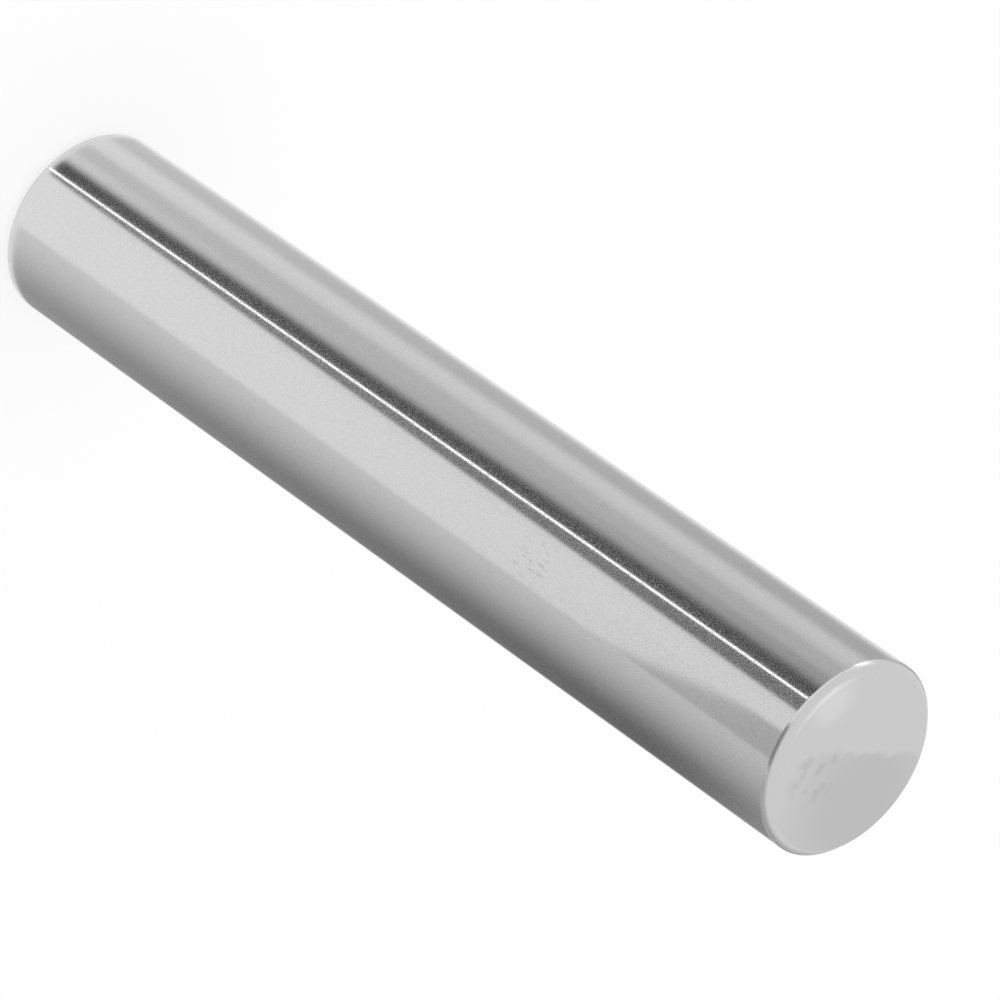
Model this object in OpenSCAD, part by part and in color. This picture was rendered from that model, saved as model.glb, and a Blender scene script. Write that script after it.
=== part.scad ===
// Pin gauge: a hardened steel pin, ground and lapped to an exact diameter, that is pushed
// into a hole to test its size. It is turned, ground and lapped from one bar, so it is one solid.
// It stands on its lower end. The origin is the centre of that end, and +Z runs up the axis.
// All lengths are in millimetres, and all angles are in degrees.

/* [Pin] */
// Diameter of the lapped wall, which is the size that the gauge tests
pin_d = 8.8; // [3:0.01:25]
// Length from end face to end face
pin_length = 50.8; // [20:0.1:150]

/* [Edges] */
// Width of each broken edge, measured across the end face
edge_w = 0.35; // [0.1:0.05:0.5]
// Slope of the broken edge, measured from the end face
edge_angle = 45; // [30:5:60]
// Radius that blends the broken edge into the end face and into the wall
blend_r = 0.1; // [0.02:0.01:0.12]

/* [Fineness] */
// Number of steps in each blend
blend_steps = 6; // [3:1:12]
// Number of sides that a preview gives the pin
preview_sides = 180; // [60:12:360]

/* [Hidden] */
steel_colour = [0.80, 0.80, 0.81];
pin_r = pin_d / 2;
// Height of the broken edge along the wall
edge_h = edge_w * tan(edge_angle);
// Headings of the outline, counted anticlockwise from +X: out along the lower end face,
// up the wall, and back along the upper end face
out_heading = 0;
up_heading = 90;
back_heading = 180;

// Unit vector at a heading
function along(heading) = [cos(heading), sin(heading)];

// Unit vector a quarter turn to the left of a heading
function left_of(heading) = [-sin(heading), cos(heading)];

// The points that round a corner of the outline with an arc. The outline comes to the corner
// at one heading and turns left to the other, and the arc touches both straight lines.
function blend(corner, from, to) =
    let (
        setback = blend_r * tan((to - from) / 2),
        centre = corner - setback * along(from) + blend_r * left_of(from)
    )
    [for (i = [0 : blend_steps])
        centre - blend_r * left_of(from + (to - from) * i / blend_steps)];

// Half of the pin's lengthwise section, from the axis out to the wall
module half_section() {
    polygon(concat(
        [[0, 0]],
        blend([pin_r - edge_w, 0], out_heading, edge_angle),
        blend([pin_r, edge_h], edge_angle, up_heading),
        blend([pin_r, pin_length - edge_h], up_heading, back_heading - edge_angle),
        blend([pin_r - edge_w, pin_length], back_heading - edge_angle, back_heading),
        [[0, pin_length]]
    ));
}

// The whole gauge: flat end faces, broken edges and a straight round wall
module gauge_pin() {
    color(steel_colour)
        rotate_extrude($fn = preview_sides)
            half_section();
}

gauge_pin();
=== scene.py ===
# %% [markdown]
# # A lapped pin gauge
#
# A pin gauge is one hardened steel pin, ground and lapped until its diameter is true to about a
# thousandth of a millimetre. A machinist slides it into a hole: if it goes in, the hole is at
# least that big. It has no handle and nothing on it moves, so the whole object is one turned shape.
#
# Its construction already exists as an exact solid. This script loads that solid as a fixed frame,
# makes the surface that is shown at the same size, gives each face its own finish, and sets up a
# small studio. Lengths are in metres, +Z runs up the pin, and the pin stands on its foot.
#
# The studio matters as much as the pin. A wall as bright as this one shows very little of itself:
# what an eye sees on it is whatever stands round it. So the last cells lay out paper for it to mirror.

# %% Load the frame
import math

import bpy
import numpy as np
from mathutils import Matrix, Vector


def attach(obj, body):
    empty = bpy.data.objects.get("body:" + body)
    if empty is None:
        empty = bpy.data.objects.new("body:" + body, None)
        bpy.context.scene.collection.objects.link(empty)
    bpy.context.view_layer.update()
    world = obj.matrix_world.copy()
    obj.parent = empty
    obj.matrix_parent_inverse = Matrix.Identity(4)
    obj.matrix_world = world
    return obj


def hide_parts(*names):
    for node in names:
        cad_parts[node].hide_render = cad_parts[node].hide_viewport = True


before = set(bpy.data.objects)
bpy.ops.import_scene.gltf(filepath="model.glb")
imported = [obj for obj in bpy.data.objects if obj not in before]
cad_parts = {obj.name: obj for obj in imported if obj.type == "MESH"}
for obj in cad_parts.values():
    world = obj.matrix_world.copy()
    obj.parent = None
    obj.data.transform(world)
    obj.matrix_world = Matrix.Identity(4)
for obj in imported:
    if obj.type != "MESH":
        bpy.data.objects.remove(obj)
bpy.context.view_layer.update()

MM = 0.001
NODE = "gauge_pin"
scene = bpy.context.scene

# %% [markdown]
# ## Sizes, read from the frame
#
# Everything about the pin's shape can be read from the solid: how far it reaches from its axis, how
# tall it is, and how wide its flat end face is. The difference between the last and the first is what
# the broken edge takes away. Reading them keeps the shown surface right if the pin is made in another
# size. Only the edge's angle and the small radius that softens it are too fine to read there, so they
# are given.

# %% Read the pin's sizes
blend_radius = 0.1 * MM
edge_angle = math.radians(45)
foot_tolerance = 0.001 * MM

cad_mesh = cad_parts[NODE].data
cad_points = np.empty(len(cad_mesh.vertices) * 3)
cad_mesh.vertices.foreach_get("co", cad_points)
cad_points = cad_points.reshape(-1, 3)
reach = np.hypot(cad_points[:, 0], cad_points[:, 1])

radius = reach.max()
length = cad_points[:, 2].max()
flat_radius = reach[cad_points[:, 2] < foot_tolerance].max()
edge_width = radius - flat_radius - blend_radius * math.tan(edge_angle / 2)

print(f"radius {radius / MM:.3f} mm, length {length / MM:.3f} mm")
print(f"broken edge {edge_width / MM:.3f} mm wide")

# %% [markdown]
# ## The shape of the pin
#
# On a lathe the shape is set by its outline: half of the lengthwise section, from the centre of the
# foot, out along the end face, over the broken edge and up the wall. The pin could be a stock cylinder
# with a bevel, but then its shading near the edge would be guessed. Here the outline is worked out as
# straight runs and true arcs, and each of its points also keeps the direction that the surface faces.
# A mirror needs that: a tenth of a degree of error in it would bend every line that the wall reflects.
#
# Whoever breaks the edge rolls the stone over both of its corners, and they end up a touch softer than
# the plain bevel. The places stay true to the solid, but the direction turns evenly the whole way: it
# starts a little way in on the end face and reaches the wall's own direction just above the bevel.

# %% The outline
arc_steps = 6
face_steps = 12
soft_steps = 4
wall_steps = 24
soft_face = 0.885 * radius
soft_wall = 0.45 * MM


def run(start, stop, heading, steps):
    """A straight run: each point is start plus an even share of the way to stop. All share one heading."""
    share = np.linspace(0.0, 1.0, steps + 1)[:, None]
    points = np.asarray(start) + share * (np.asarray(stop) - np.asarray(start))
    return np.column_stack([points, np.full(steps + 1, heading)])


def arc(corner, enter, leave):
    """An arc that rounds a corner to the left. It starts a setback before the corner, which is the
    blend radius times the tangent of half the turn. Each point is the centre, one radius to the left of
    the start, less one radius to the left of that point's heading."""
    setback = blend_radius * math.tan((leave - enter) / 2)
    start = np.asarray(corner) - setback * np.array([math.cos(enter), math.sin(enter)])
    centre = start + blend_radius * np.array([-math.sin(enter), math.cos(enter)])
    heading = np.linspace(enter, leave, arc_steps + 1)
    left = np.column_stack([-np.sin(heading), np.cos(heading)])
    return np.column_stack([centre - blend_radius * left, heading])


up = math.pi / 2
edge_height = edge_width * math.tan(edge_angle)
face_arc = arc((radius - edge_width, 0.0), 0.0, edge_angle)
wall_arc = arc((radius, edge_height), edge_angle, up)
face_run = run((0.0, 0.0), (soft_face, 0.0), 0.0, face_steps)[1:]
face_soft = run((soft_face, 0.0), face_arc[0, :2], 0.0, soft_steps)[1:-1]
wall_soft = run(wall_arc[-1, :2], (radius, soft_wall), up, soft_steps)[1:]
wall_run = run((radius, soft_wall), (radius, length / 2), up, wall_steps // 2)[1:]

lower_half = np.concatenate([face_run, face_soft, face_arc, wall_arc, wall_soft, wall_run])
travel = np.concatenate([[0.0], np.cumsum(np.hypot(*np.diff(lower_half[:, :2], axis=0).T))])
soft_ends = travel[[len(face_run) - 1, -len(wall_run) - 1]]
lower_half[:, 2] = np.interp(travel, soft_ends, [0.0, up])
upper_half = lower_half[-2::-1] * [1, -1, -1] + [0, length, math.pi]
outline = np.concatenate([lower_half, upper_half])
print(f"outline of {len(outline)} points, wall from {wall_arc[-1, 1] / MM:.3f} mm up")

# %% [markdown]
# ## Turning the outline into a surface
#
# The outline is carried round the axis in even steps, which gives a grid: one way it counts points of
# the outline, the other way it counts steps round the pin. Each square of the grid is one face. The
# middle of each end face is a single point, closed by a fan of triangles, so the surface has no hole.
#
# The same grid lays the surface out flat for patterns and for baking: the wall unrolls into a sheet,
# and each end face lies beside it as a disc. Both keep their real proportions.

# %% Turn the outline
turn_steps = 360


def grid_faces(rings, steps):
    """Corners of every square between neighbouring rings, as ring number and step number. They go round
    each square so that it faces away from the axis. The last step isn't wrapped: a flat layout needs that."""
    ring, step = np.meshgrid(np.arange(rings - 1), np.arange(steps), indexing="ij")
    ring, step = ring.ravel()[:, None], step.ravel()[:, None]
    return ring + np.array([0, 0, 1, 1]), step + np.array([0, 1, 1, 0])


def turned_points(outline, turn):
    """Places and outward directions. A place is the outline's radius along the turn's direction, at the
    outline's height. A direction is the outline's heading turned a quarter to the right."""
    out = np.stack([np.sin(turn), -np.cos(turn)], -1)[None]
    r, z, heading = (outline[:, i][:, None] for i in range(3))
    shape = (len(outline), len(turn))
    place = np.dstack([r * out[..., 0], r * out[..., 1], np.broadcast_to(z, shape)])
    level = -np.cos(heading)
    side = np.sin(heading)
    faces_to = np.dstack([side * out[..., 0], side * out[..., 1], np.broadcast_to(level, shape)])
    return place.reshape(-1, 3), faces_to.reshape(-1, 3)


turn = np.linspace(-math.pi, math.pi, turn_steps + 1) + math.pi
rings = len(outline)
points, facing = turned_points(outline, turn[:-1])
corner_ring, corner_step = grid_faces(rings, turn_steps)
squares = corner_ring * turn_steps + corner_step % turn_steps

foot_pole = len(points)
head_pole = foot_pole + 1
points = np.concatenate([points, [[0, 0, 0], [0, 0, length]]])
facing = np.concatenate([facing, [[0, 0, -1], [0, 0, 1]]])
step = np.arange(turn_steps)
after = (step + 1) % turn_steps
head_ring = (rings - 1) * turn_steps
foot_fan = np.column_stack([np.full(turn_steps, foot_pole), after, step])
head_fan = np.column_stack([np.full(turn_steps, head_pole), head_ring + step, head_ring + after])

pin_mesh = bpy.data.meshes.new("lapped_pin")
pin_mesh.from_pydata(points.tolist(), [], squares.tolist() + foot_fan.tolist() + head_fan.tolist())
pin_mesh.shade_smooth()
pin_mesh.normals_split_custom_set_from_vertices(facing.tolist())
pin = bpy.data.objects.new("lapped_pin", pin_mesh)
scene.collection.objects.link(pin)
print(f"{len(pin_mesh.vertices)} points, {len(pin_mesh.polygons)} faces")

# %% Lay the surface out flat
gap = 0.6 * MM
outline_travel = np.concatenate([[0.0], np.cumsum(np.hypot(*np.diff(outline[:, :2], axis=0).T))])
face_edge = len(face_run) + len(face_soft)
side_start = outline_travel[face_edge]
side_length = outline_travel[rings - 1 - face_edge] - side_start
sheet = side_length + 2 * gap
wall_width = 2 * math.pi * radius
disc_x = gap + wall_width + gap + flat_radius
foot_disc = np.array([disc_x, gap + flat_radius])
head_disc = np.array([disc_x, sheet - gap - flat_radius])


def on_disc(centre, r, step):
    """A point of an end face: the disc's centre plus the radius in the direction of the step."""
    angle = turn[step]
    return centre + r[..., None] * np.stack([np.cos(angle), np.sin(angle)], -1)


def on_sheet(ring, step):
    """A point of the side: across is the step's share of the way round, up is the outline's travel."""
    across = gap + wall_width * step / turn_steps
    return np.stack([across, gap + outline_travel[ring] - side_start], -1)


square_ring = corner_ring.min(axis=1)
is_foot = square_ring < face_edge
is_head = square_ring >= rings - 1 - face_edge
flat = on_sheet(corner_ring, corner_step)
flat[is_foot] = on_disc(foot_disc, outline[corner_ring[is_foot], 0], corner_step[is_foot])
flat[is_head] = on_disc(head_disc, outline[corner_ring[is_head], 0], corner_step[is_head])
fan_steps = np.column_stack([step, step + 1, step])
fan_reach = np.tile([0.0, outline[0, 0], outline[0, 0]], (turn_steps, 1))
flat_foot = on_disc(foot_disc, fan_reach, fan_steps)
flat_head = on_disc(head_disc, fan_reach, np.column_stack([step, step, step + 1]))

layout = pin_mesh.uv_layers.new(name="OFBake")
flat = np.concatenate([flat.reshape(-1, 2), flat_foot.reshape(-1, 2), flat_head.reshape(-1, 2)])
layout.uv.foreach_set("vector", (flat / sheet).astype(np.float32).ravel())
print(f"flat sheet {sheet / MM:.1f} mm square, wall {wall_width / MM:.2f} mm across")

# %% [markdown]
# ## Shared effects: grain, lines, dull specks and soft spots
#
# A lapped face looks perfect, but a loupe shows four things on it: a fine grain, finer lines that follow
# the way it was worked, tiny dull pits, and soft marks from handling. More than one finish needs each of
# them, so each is a node group that is built once, and every finish gives it its own values.
#
# The first two are shape, so they put out a height. Heights are in micrometres, which is how a workshop
# talks about a surface. The last two are masks: 1 where the effect is full and 0 where there is none.

# %% Helpers for nodes
MICROMETRE = 1e-6


def add(tree, kind, **values):
    """Adds a node to a tree. Each value goes to the node's setting of that name."""
    node = tree.nodes.new(kind)
    for name, value in values.items():
        setattr(node, name, value)
    return node


def connect(tree, value, socket):
    """Gives a socket its value, which is either a number or another node's output."""
    if isinstance(value, bpy.types.NodeSocket):
        tree.links.new(value, socket)
    else:
        socket.default_value = value


def math_node(tree, operation, first, second):
    """Adds a Math node and gives its two operands."""
    node = add(tree, "ShaderNodeMath", operation=operation)
    connect(tree, first, node.inputs[0])
    connect(tree, second, node.inputs[1])
    return node.outputs[0]


def fade(tree, value, start, stop):
    """A smooth step: 0 until value reaches start, 1 once it reaches stop. It falls where stop is the less."""
    node = add(tree, "ShaderNodeMapRange", interpolation_type="SMOOTHSTEP")
    connect(tree, value, node.inputs["Value"])
    connect(tree, start, node.inputs["From Min"])
    connect(tree, stop, node.inputs["From Max"])
    return node.outputs["Result"]


def new_group(name, inputs, output):
    """An empty node group. Inputs are a name, a kind of socket and a value each; the output is a number."""
    group = bpy.data.node_groups.new(name, "ShaderNodeTree")
    for title, kind, value in inputs:
        socket = group.interface.new_socket(title, in_out="INPUT", socket_type=f"NodeSocket{kind}")
        if value is not None:
            socket.default_value = value
    group.interface.new_socket(output, in_out="OUTPUT", socket_type="NodeSocketFloat")
    return group, add(group, "NodeGroupInput").outputs, add(group, "NodeGroupOutput").inputs


# %% Fine grain and fine lines
grain_group, given, result = new_group(
    "fine grain",
    [("Vector", "Vector", None), ("Grain", "Float", 0.08 * MM), ("Depth", "Float", 0.1)],
    "Height",
)
noise = add(grain_group, "ShaderNodeTexNoise")
noise.inputs["Detail"].default_value = 1.0
connect(grain_group, given["Vector"], noise.inputs["Vector"])
connect(grain_group, math_node(grain_group, "DIVIDE", 1.0, given["Grain"]), noise.inputs["Scale"])
grain_height = math_node(grain_group, "MULTIPLY", noise.outputs["Fac"], given["Depth"])
connect(grain_group, grain_height, result["Height"])

line_group, given, result = new_group(
    "fine lines",
    [("Position", "Float", 0.0), ("Spacing", "Float", 0.06 * MM), ("Depth", "Float", 0.1)],
    "Height",
)
noise = add(line_group, "ShaderNodeTexNoise", noise_dimensions="1D")
connect(line_group, given["Position"], noise.inputs["W"])
connect(line_group, math_node(line_group, "DIVIDE", 1.0, given["Spacing"]), noise.inputs["Scale"])
line_height = math_node(line_group, "MULTIPLY", noise.outputs["Fac"], given["Depth"])
connect(line_group, line_height, result["Height"])

# %% Dull specks and soft spots
speck_group, given, result = new_group(
    "dull specks",
    [
        ("Vector", "Vector", None),
        ("Grain", "Float", 0.03 * MM),
        ("Start", "Float", 0.56),
        ("Stop", "Float", 0.60),
    ],
    "Mask",
)
noise = add(speck_group, "ShaderNodeTexNoise")
noise.inputs["Detail"].default_value = 0.0
connect(speck_group, given["Vector"], noise.inputs["Vector"])
connect(speck_group, math_node(speck_group, "DIVIDE", 1.0, given["Grain"]), noise.inputs["Scale"])
connect(speck_group, fade(speck_group, noise.outputs["Fac"], given["Start"], given["Stop"]), result["Mask"])

spot_group, given, result = new_group(
    "soft spot",
    [
        ("Vector", "Vector", None),
        ("Centre", "Vector", (0.0, 0.0, 0.0)),
        ("Radius", "Float", 1 * MM),
        ("Softness", "Float", 0.7),
    ],
    "Mask",
)
away = add(spot_group, "ShaderNodeVectorMath", operation="DISTANCE")
connect(spot_group, given["Vector"], away.inputs[0])
connect(spot_group, given["Centre"], away.inputs[1])
spot_reach = math_node(spot_group, "DIVIDE", away.outputs["Value"], given["Radius"])
spot_core = math_node(spot_group, "SUBTRACT", 1.0, given["Softness"])
connect(spot_group, fade(spot_group, spot_reach, 1.0, spot_core), result["Mask"])
print("node groups:", [g.name for g in bpy.data.node_groups])

# %% [markdown]
# ## The lapped wall
#
# Lapping rubs the pin with fine abrasive between flat plates until it is nearly a mirror. The steel is
# a neutral grey, so the colour is one even grey and everything else is gloss. The roughness is very
# low. The lines run round the pin, because it turns as it is lapped, and their depth is a few hundredths
# of a micrometre. The dull specks matter more: each one scatters a little light from all round into a
# dark reflection, so dark bands sparkle and bright ones stay clean.
#
# Handling leaves marks too. A few light spots and short dark streaks lie about two thirds of the way up.

# %% Helpers for steel
wall_grey = 0.775


def steel(name):
    """A metal: one Principled shader, fully metallic, with a Bump node that reads micrometres."""
    material = bpy.data.materials.new(name)
    material.use_nodes = True
    tree = material.node_tree
    tree.nodes.clear()
    shader = add(tree, "ShaderNodeBsdfPrincipled")
    output = add(tree, "ShaderNodeOutputMaterial")
    bump = add(tree, "ShaderNodeBump")
    shader.inputs["Metallic"].default_value = 1.0
    bump.inputs["Distance"].default_value = MICROMETRE
    tree.links.new(bump.outputs["Normal"], shader.inputs["Normal"])
    tree.links.new(shader.outputs["BSDF"], output.inputs["Surface"])
    place = add(tree, "ShaderNodeTexCoord").outputs["Object"]
    return material, tree, shader.inputs, bump.inputs["Height"], place


def use(tree, group, **values):
    """Puts a shared effect into a material and sets its inputs."""
    node = add(tree, "ShaderNodeGroup", node_tree=group)
    for name, value in values.items():
        connect(tree, value, node.inputs[name])
    return node.outputs[0]


def marks(tree, place, spots):
    """How much darker the spots make each place: the sum over the spots of their mask times their depth.
    A spot is a centre, a radius and a depth. A depth below 0 makes a place lighter."""
    total = 0.0
    for centre, size, depth in spots:
        mask = use(tree, spot_group, Vector=place, Centre=centre, Radius=size)
        total = math_node(tree, "ADD", total, math_node(tree, "MULTIPLY", mask, depth))
    return total


def on_wall(height, degrees):
    """A place on the wall at a height in mm. The angle grows from -Y towards -X."""
    angle = math.radians(degrees)
    return (-radius * math.sin(angle), -radius * math.cos(angle), height * MM)


# %% The lapped wall's material
wall_spots = [
    (on_wall(35.5, 39), 0.12 * MM, -0.10),
    (on_wall(35.4, 25), 0.12 * MM, -0.12),
    (on_wall(36.6, 25), 0.10 * MM, -0.10),
]
streak_depth = 0.30
streak_stretch = 0.22
streak_centre = on_wall(35.1, -10)
clean_roughness = 0.06
speck_roughness = 0.22

wall_steel, tree, inputs, height, place = steel("lapped wall")
along = add(tree, "ShaderNodeSeparateXYZ")
tree.links.new(place, along.inputs["Vector"])
wall_grain = use(tree, grain_group, Vector=place, Grain=0.08 * MM, Depth=0.05)
wall_lines = use(tree, line_group, Position=along.outputs["Z"], Spacing=0.07 * MM, Depth=0.06)
connect(tree, math_node(tree, "ADD", wall_grain, wall_lines), height)

wall_specks = use(tree, speck_group, Vector=place, Grain=0.03 * MM)
wall_rough = math_node(tree, "MULTIPLY", wall_specks, speck_roughness)
wall_rough = math_node(tree, "ADD", wall_rough, clean_roughness)
connect(tree, wall_rough, inputs["Roughness"])

wall_mottle = use(tree, grain_group, Vector=place, Grain=0.07 * MM, Depth=0.20)
long_place = add(tree, "ShaderNodeVectorMath", operation="MULTIPLY")
tree.links.new(place, long_place.inputs[0])
long_place.inputs[1].default_value = (1, 1, streak_stretch)
long_place = long_place.outputs["Vector"]
streaks = use(tree, speck_group, Vector=long_place, Grain=0.10 * MM, Start=0.58, Stop=0.80)
streak_area = use(tree, spot_group, Vector=place, Centre=streak_centre, Radius=1.5 * MM, Softness=0.9)
streak = math_node(tree, "MULTIPLY", math_node(tree, "MULTIPLY", streaks, streak_area), streak_depth)
wall_marks = math_node(tree, "ADD", marks(tree, place, wall_spots), streak)
wall_dark = math_node(tree, "ADD", wall_marks, wall_mottle)
wall_colour = math_node(tree, "MULTIPLY", math_node(tree, "SUBTRACT", 1.0, wall_dark), wall_grey)
connect(tree, wall_colour, inputs["Base Color"])

# %% [markdown]
# ## The ground ends and the broken edge
#
# The end faces only have to be square, so they are ground and left satin. Their lines are rings round
# the axis. The broken edge is dressed by hand to the same satin, so the face seems to roll over into
# it without a border.
#
# One side of the upper end is darker, up to a nearly straight border, and small soft smudges lie beside that
# border. They are shapes without any meaning.

# %% The ends' material
end_grey = 0.587
dark_side_normal = Vector((0.928, 0.373, 0.0))
dark_side_border = -0.12 * radius
dark_side_fade = 0.35 * MM
dark_side_depth = 0.15
waver_depth = 0.8 * MM
smudge_depth = 0.12
end_roughness = 0.30
edge_roughness = 0.26


def on_head(x, y):
    """A place on the upper end, given in shares of the radius."""
    return (x * radius, y * radius, length)


dark_side_centre = on_head(0.25, 0.45)
smudge_centre = on_head(0.27, -0.36)
# One spot near the rim of the upper end, on the camera's side, is made lighter in colour.
head_spots = [(on_head(-0.36, -0.76), 1.50 * MM, -0.11)]

end_steel, tree, inputs, height, place = steel("ground end")
across = add(tree, "ShaderNodeVectorMath", operation="MULTIPLY")
tree.links.new(place, across.inputs[0])
across.inputs[1].default_value = (1, 1, 0)
from_axis = add(tree, "ShaderNodeVectorMath", operation="LENGTH")
tree.links.new(across.outputs["Vector"], from_axis.inputs[0])
end_grain = use(tree, grain_group, Vector=place, Grain=0.12 * MM, Depth=0.6)
end_lines = use(tree, line_group, Position=from_axis.outputs["Value"], Spacing=0.10 * MM, Depth=0.5)
connect(tree, math_node(tree, "ADD", end_grain, end_lines), height)
inputs["Roughness"].default_value = end_roughness

# The colour is made darker on one side of the upper end, beyond a wavering, nearly straight border.
beyond = add(tree, "ShaderNodeVectorMath", operation="DOT_PRODUCT")
tree.links.new(place, beyond.inputs[0])
beyond.inputs[1].default_value = dark_side_normal
waver = use(tree, grain_group, Vector=place, Grain=0.9 * MM, Depth=waver_depth)
waver = math_node(tree, "SUBTRACT", waver, waver_depth / 2)
dark_side_reach = math_node(tree, "ADD", beyond.outputs["Value"], waver)
dark_side_edge = fade(tree, dark_side_reach, dark_side_border, dark_side_border + dark_side_fade)
dark_side_area = use(tree, spot_group, Vector=place, Centre=dark_side_centre, Radius=1.25 * radius, Softness=0.8)
dark_side = math_node(tree, "MULTIPLY", math_node(tree, "MULTIPLY", dark_side_edge, dark_side_area), dark_side_depth)

smudges = use(tree, speck_group, Vector=place, Grain=0.50 * MM, Start=0.50, Stop=0.80)
smudge_area = use(tree, spot_group, Vector=place, Centre=smudge_centre, Radius=1.7 * MM, Softness=0.6)
smudge = math_node(tree, "MULTIPLY", math_node(tree, "MULTIPLY", smudges, smudge_area), smudge_depth)
end_dark = math_node(tree, "ADD", math_node(tree, "ADD", dark_side, smudge), marks(tree, place, head_spots))
end_colour = math_node(tree, "MULTIPLY", math_node(tree, "SUBTRACT", 1.0, end_dark), end_grey)
connect(tree, end_colour, inputs["Base Color"])

# %% The broken edge's material
edge_steel, tree, inputs, height, place = steel("broken edge")
connect(tree, use(tree, grain_group, Vector=place, Grain=0.08 * MM, Depth=0.4), height)
inputs["Base Color"].default_value = (end_grey, end_grey, end_grey, 1.0)
inputs["Roughness"].default_value = edge_roughness

# %% Give each face its finish
wall_first = face_edge + arc_steps + 1
is_wall = (square_ring >= wall_first) & (square_ring < rings - 1 - wall_first)
finish = np.full(len(pin_mesh.polygons), 1)
finish[: len(squares)] = np.where(is_wall, 0, np.where(is_foot | is_head, 1, 2))
for material in (wall_steel, end_steel, edge_steel):
    pin_mesh.materials.append(material)
pin_mesh.polygons.foreach_set("material_index", finish.astype(np.int32))
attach(pin, "root")
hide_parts(NODE)
print("faces of wall, ends and edges:", np.bincount(finish))

# %% [markdown]
# ## The floor and the light
#
# The pin stands on a wide white floor under an even white sky. Both are plain white at a strength of 1,
# so a grey comes out as the grey it was given. Part of the floor's white is its own glow, which only an
# eye or a mirror sees: that keeps it white to the horizon and leaves a soft shadow round the foot.

# %% The world and the floor
floor_grey = 0.25
floor_half = 3.0


def seen_directly(tree):
    """1 for rays that come from the eye, a mirror or glass, and 0 for rays that carry light."""
    path = add(tree, "ShaderNodeLightPath").outputs
    seen = math_node(tree, "MAXIMUM", path["Is Camera Ray"], path["Is Glossy Ray"])
    return math_node(tree, "MAXIMUM", seen, path["Is Transmission Ray"])


world = bpy.data.worlds.new("white sky")
world.use_nodes = True
world.node_tree.nodes["Background"].inputs["Color"].default_value = (1, 1, 1, 1)
world.node_tree.nodes["Background"].inputs["Strength"].default_value = 1.0
scene.world = world

floor_paper = bpy.data.materials.new("white floor")
floor_paper.use_nodes = True
tree = floor_paper.node_tree
tree.nodes.clear()
paper = add(tree, "ShaderNodeBsdfDiffuse")
paper.inputs["Color"].default_value = (floor_grey, floor_grey, floor_grey, 1)
glow = add(tree, "ShaderNodeEmission")
both = add(tree, "ShaderNodeAddShader")
output = add(tree, "ShaderNodeOutputMaterial")
glow_strength = math_node(tree, "MULTIPLY", seen_directly(tree), 1 - floor_grey)
tree.links.new(glow_strength, glow.inputs["Strength"])
tree.links.new(paper.outputs[0], both.inputs[0])
tree.links.new(glow.outputs[0], both.inputs[1])
tree.links.new(both.outputs[0], output.inputs["Surface"])

floor_mesh = bpy.data.meshes.new("floor")
floor_corners = [(x * floor_half, y * floor_half, 0) for x, y in ((-1, -1), (1, -1), (1, 1), (-1, 1))]
floor_mesh.from_pydata(floor_corners, [], [(0, 1, 2, 3)])
floor_mesh.materials.append(floor_paper)
floor = bpy.data.objects.new("floor", floor_mesh)
scene.collection.objects.link(floor)

# %% [markdown]
# ## The paper that the wall mirrors
#
# A round mirror squeezes its whole surroundings into narrow bands that run along it. A ray that comes in
# along the camera's heading and meets the wall at some angle round the pin leaves at twice that angle.
# So the paper is one wide sheet laid out along those very rays: it starts beside the wall and runs
# straight out at every heading, first flat on the floor and then up a bend. A card that lies along a
# heading then shows on the wall as one straight band from foot to head.
#
# Headings are in degrees from the camera's side, and grow towards the left of someone who stands at the
# camera and looks at the pin.

# %% The shape of the paper
paper_start = 0.3 * MM
flat_reach = 120 * MM
bend = 80 * MM
paper_height = 60 * MM
paper_lift = 0.1 * MM
paper_rows = 90
paper_columns = 720

headings = np.linspace(-180.0, 180.0, paper_columns + 1)
paper_run_end = flat_reach + bend * math.acos(1 - paper_height / bend)
paper_run = paper_start + (paper_run_end - paper_start) * np.linspace(0.0, 1.0, paper_rows) ** 2


def side(heading):
    """The level direction at a heading: from the pin towards the camera's side at 0."""
    return np.stack([-np.sin(heading), -np.cos(heading), np.zeros_like(heading)], -1)


def on_paper(heading, run):
    """A place on the paper, whose run is measured along it. It starts on the wall at half the heading, goes
    straight out at the heading along the floor, and then up an arc whose radius is the bend."""
    turn = np.maximum(run - flat_reach, 0.0) / bend
    out = np.minimum(run, flat_reach) + bend * np.sin(turn)
    rise = paper_lift + bend * (1 - np.cos(turn))
    level = radius * side(heading / 2) + out[..., None] * side(heading)
    return level + rise[..., None] * np.array([0.0, 0.0, 1.0])


# %% Helpers for paper
def surface(name, place, material, **layers):
    """A sheet from a grid of places, one face for each square of the grid. Layers are numbers for each
    place, kept on the mesh for the material."""
    rows, columns = place.shape[:2]
    row, column = np.meshgrid(np.arange(rows - 1), np.arange(columns - 1), indexing="ij")
    first = (row * columns + column).ravel()[:, None]
    mesh = bpy.data.meshes.new(name)
    faces = first + np.array([0, 1, columns + 1, columns])
    mesh.from_pydata(place.reshape(-1, 3).tolist(), [], faces.tolist())
    for title, values in layers.items():
        layer = mesh.attributes.new(title, "FLOAT", "POINT")
        layer.data.foreach_set("value", np.broadcast_to(values, (rows, columns)).astype(np.float32).ravel())
    mesh.materials.append(material)
    thing = bpy.data.objects.new(name, mesh)
    scene.collection.objects.link(thing)
    return thing


def only_mirrored(thing):
    """The pin mirrors this, but the camera doesn't see it and it neither lights nor shades anything."""
    thing.visible_camera = False
    thing.visible_diffuse = False
    thing.visible_transmission = False
    thing.visible_shadow = False
    thing.visible_volume_scatter = False


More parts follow.
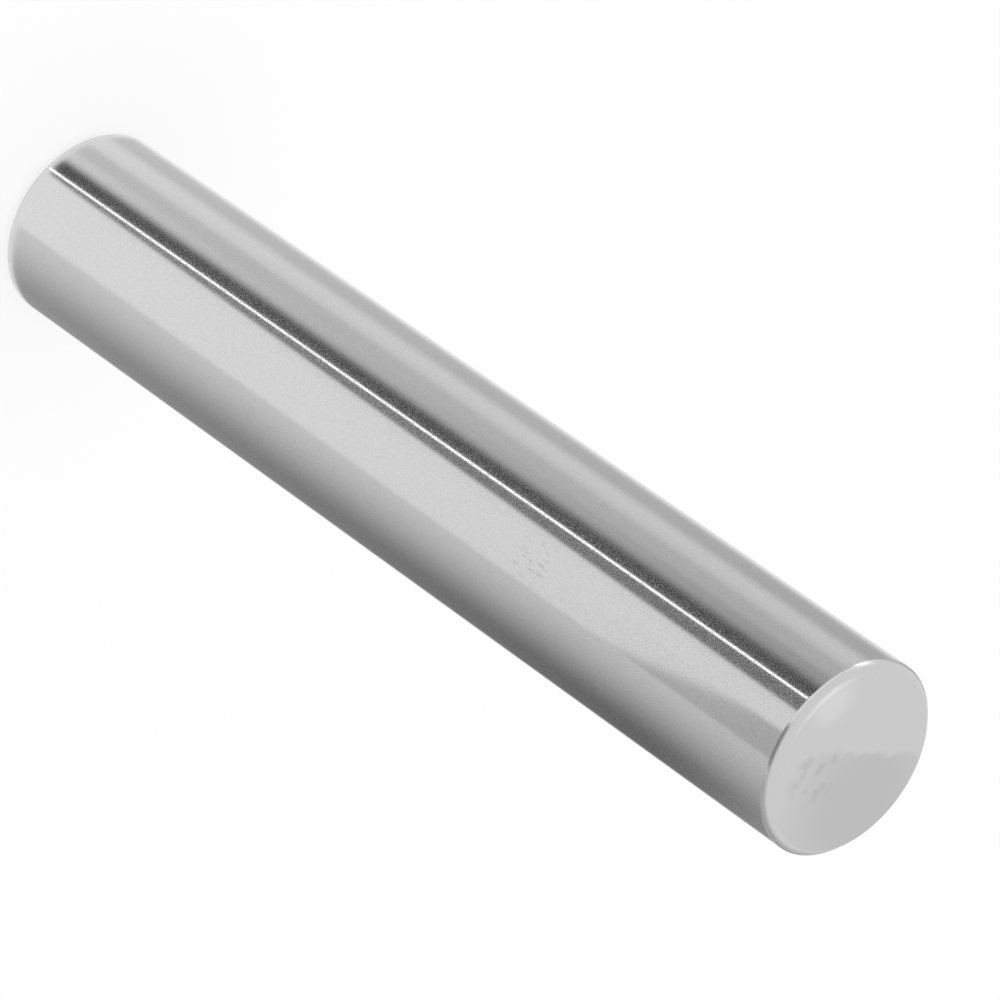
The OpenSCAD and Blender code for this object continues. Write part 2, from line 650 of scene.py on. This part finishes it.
glowing_paper = bpy.data.materials.new("glowing paper")
glowing_paper.use_nodes = True
tree = glowing_paper.node_tree
tree.nodes.clear()
tone_layer = add(tree, "ShaderNodeAttribute", attribute_name="tone")
glow = add(tree, "ShaderNodeEmission")
output = add(tree, "ShaderNodeOutputMaterial")
tree.links.new(tone_layer.outputs["Fac"], glow.inputs["Strength"])
tree.links.new(glow.outputs[0], output.inputs["Surface"])

# %% [markdown]
# ## The cards round the pin
#
# Under nothing but white a bright pin would vanish, so cards stand round it. Dark ones draw its shape,
# and grey ones turn it. Each card is named here with the headings it covers, how many degrees it takes
# to fade in and out, and its tone beside the pin and further out. A card may also begin only at some
# distance, which its skew moves by so many mm a degree, and its first side may slant. Its
# top is a height angle, seen from the head: the wall only mirrors what lies below, and the broken edge
# mirrors the tops and the white sky over them. No card touches the pin, so a narrow white gap is left
# round its foot.

# %% The cards
white_near = 0.98
white_far = 0.88
cards = {
    "grey, left": dict(first=-165, last=-50, before=10, after=5, near=0.80, far=0.70, top=0),
    "dark, back left": dict(first=-158, last=-130, before=15, after=90, near=0.40, far=0.12, top=-40),
    "grey, far left": dict(first=-130, last=-70, before=20, after=20, near=0.60, far=0.50, top=-15,
                           begins=85),
    "grey, front left": dict(first=-45, last=-18, before=5, after=6, near=0.60, far=0.50, top=-25,
                             begins=56, skew=0.4),
    "dark, front left": dict(first=-45, last=-10, before=10, after=10, near=0.35, far=0.30, top=0,
                             begins=90),
    "light grey, right": dict(first=50, last=140, before=10, after=15, near=0.92, far=0.75, top=-30),
    "grey, right": dict(first=45, last=58, before=5, after=40, near=0.85, far=0.40, top=-30),
    "grey strip, right": dict(first=68, last=76, before=10, after=12, near=0.70, far=0.55, top=-30),
    "grey, back right": dict(first=122, last=138, before=20, after=25, near=0.70, far=0.50, top=-30),
    "dark grey, right": dict(first=26, last=38, before=6, after=10, near=0.27, far=0.18, top=-30, slant=-12),
    "black, right": dict(first=33, last=38, before=5, after=17, near=0.10, far=0.08, top=-30),
    "lit, far right": dict(first=90, last=96, before=8, after=8, near=1.80, far=1.80, top=-5, begins=110),
}
# Distances are in mm and height angles in degrees. Tones change over the reach, fastest near the pin.
tones_reach = 68.0
fall = 0.65
begin_fade = 5.0
top_fade = 15.0
sky_starts = -25
sky_full = 0
foot_gap = 0.4
foot_clear = 0.9


def ease(value, start, stop):
    """0 up to start and 1 from stop on, along a smooth curve between them. It falls where stop is less."""
    share = np.clip((value - start) / (stop - start), 0.0, 1.0)
    return share * share * (3 - 2 * share)


def patch(value, low, high, before, after):
    """1 between low and high. It fades to 0 over a width of before below them, and of after above them."""
    return ease(value, low - before, low) * ease(value, high + after, high)


def studio(run_mm, angle):
    """The tone at every heading, for places that far out and at that height angle. It starts as white
    paper that turns into white sky. Each card then covers what is under it, as much as its mask says."""
    out = np.clip(run_mm / tones_reach, 0.0, 1.0) ** fall
    white = white_near + (white_far - white_near) * out
    tones = white + (1 - white) * ease(angle, sky_starts, sky_full) + np.zeros_like(headings)
    for card in cards.values():
        first = card["first"] + card.get("slant", 0) * out
        begins = card.get("begins", 0) + card.get("skew", 0) * (headings - card["first"])
        mask = patch(headings, first, card["last"], card["before"], card["after"])
        mask = mask * ease(run_mm, begins - begin_fade, begins)
        mask = mask * ease(angle, card["top"] + top_fade, card["top"])
        tone = card["near"] + (card["far"] - card["near"]) * out
        tones = tones + (tone - tones) * mask * ease(run_mm, foot_gap, foot_clear)
    return tones


# %% The ring of paper
paper_place = on_paper(np.zeros(1), paper_run[:, None])[:, 0]
paper_angle = np.degrees(np.arctan2(paper_place[:, 2] - length, -paper_place[:, 1]))[:, None]
run_mm = (paper_run / MM)[:, None]
paper_grids = np.broadcast_arrays(np.radians(headings), paper_run[:, None])
paper_tone = studio(run_mm, paper_angle)
paper_ring = surface("paper_ring", on_paper(*paper_grids), glowing_paper, tone=paper_tone)
only_mirrored(paper_ring)
print("paper's tones run from", paper_tone.min().round(2), "to", paper_tone.max().round(2))

# %% The strip lamp
lamp_heading = 28.0
lamp_half = 1.4
lamp_near = 1.6
lamp_far = 2.1
lamp_end = 75.0
lamp_fade = 8.0
lamp_lift = 0.1 * MM
lamp_columns = 5

lamp_share = np.linspace(0.0, 1.0, paper_rows)[:, None]
lamp_tone = lamp_near + (lamp_far - lamp_near) * lamp_share
lamp_tone = 1 + (lamp_tone - 1) * ease(run_mm, lamp_end + lamp_fade, lamp_end)
lamp_headings = np.linspace(lamp_heading - lamp_half, lamp_heading + lamp_half, lamp_columns)
lamp_headings = np.radians(lamp_headings)
lamp_place = on_paper(*np.broadcast_arrays(lamp_headings, paper_run[:, None])) + [0, 0, lamp_lift]
strip_lamp = surface("strip_lamp", lamp_place, glowing_paper, tone=lamp_tone)
only_mirrored(strip_lamp)

# %% The sky over the paper
dome_reach = 1.0
dome_top = 88.0
dome_rows = 89
far_out = 1000.0
wide_lamp_strength = 0.4
wide_lamp_across = (95, 140, 40, 40)
wide_lamp_upwards = (68, 78, 12, 12)


def on_dome(heading, height):
    """A place on the dome: its reach times the cosine of the height angle along the heading, and its reach
    times the sine of that angle upwards."""
    level = side(heading) * np.cos(height)[..., None]
    return dome_reach * (level + np.sin(height)[..., None] * np.array([0.0, 0.0, 1.0]))


dome_height = np.linspace(0.0, dome_top, dome_rows)[:, None]
dome_rise = dome_reach * np.sin(np.radians(dome_height)) - length
dome_angle = np.degrees(np.arctan2(dome_rise, dome_reach * np.cos(np.radians(dome_height))))
wide_lamp = patch(headings, *wide_lamp_across) * patch(dome_height, *wide_lamp_upwards)
dome_tone = studio(far_out, dome_angle) + wide_lamp_strength * wide_lamp
dome_grids = np.broadcast_arrays(np.radians(headings), np.radians(dome_height))
sky_dome = surface("sky_dome", on_dome(*dome_grids), glowing_paper, tone=dome_tone)
only_mirrored(sky_dome)

# %% [markdown]
# ## The camera
#
# The camera looks down at the pin from a little above, through a long lens, so the pin's sides stay nearly
# parallel. It is rolled on its side: the standing pin then crosses the frame from corner to corner,
# with its head towards the viewer.

# %% Place the camera
camera_elevation = math.radians(39.07)
camera_roll = math.radians(125.06)
camera_distance = 292.0 * MM
aim_right = -2.24 * MM
aim_up = 0.96 * MM
lens = 251.1

back = Vector((0, -math.cos(camera_elevation), math.sin(camera_elevation)))
level_right = Vector((1, 0, 0))
level_up = back.cross(level_right)
right = math.cos(camera_roll) * level_right + math.sin(camera_roll) * level_up
up_side = -math.sin(camera_roll) * level_right + math.cos(camera_roll) * level_up
middle = Vector((0, 0, length / 2))
eye = middle + back * camera_distance - right * aim_right - up_side * aim_up

camera_data = bpy.data.cameras.new("camera")
camera_data.lens = lens
camera_data.sensor_width = 36.0
camera_data.clip_start = 0.01
camera_data.clip_end = 20.0
camera = bpy.data.objects.new("camera", camera_data)
turned = Matrix((right, up_side, back)).transposed().to_4x4()
camera.matrix_world = Matrix.Translation(eye) @ turned
scene.collection.objects.link(camera)
scene.camera = camera
scene.view_settings.view_transform = "Standard"
print("camera at, in mm:", [round(v / MM, 1) for v in eye])
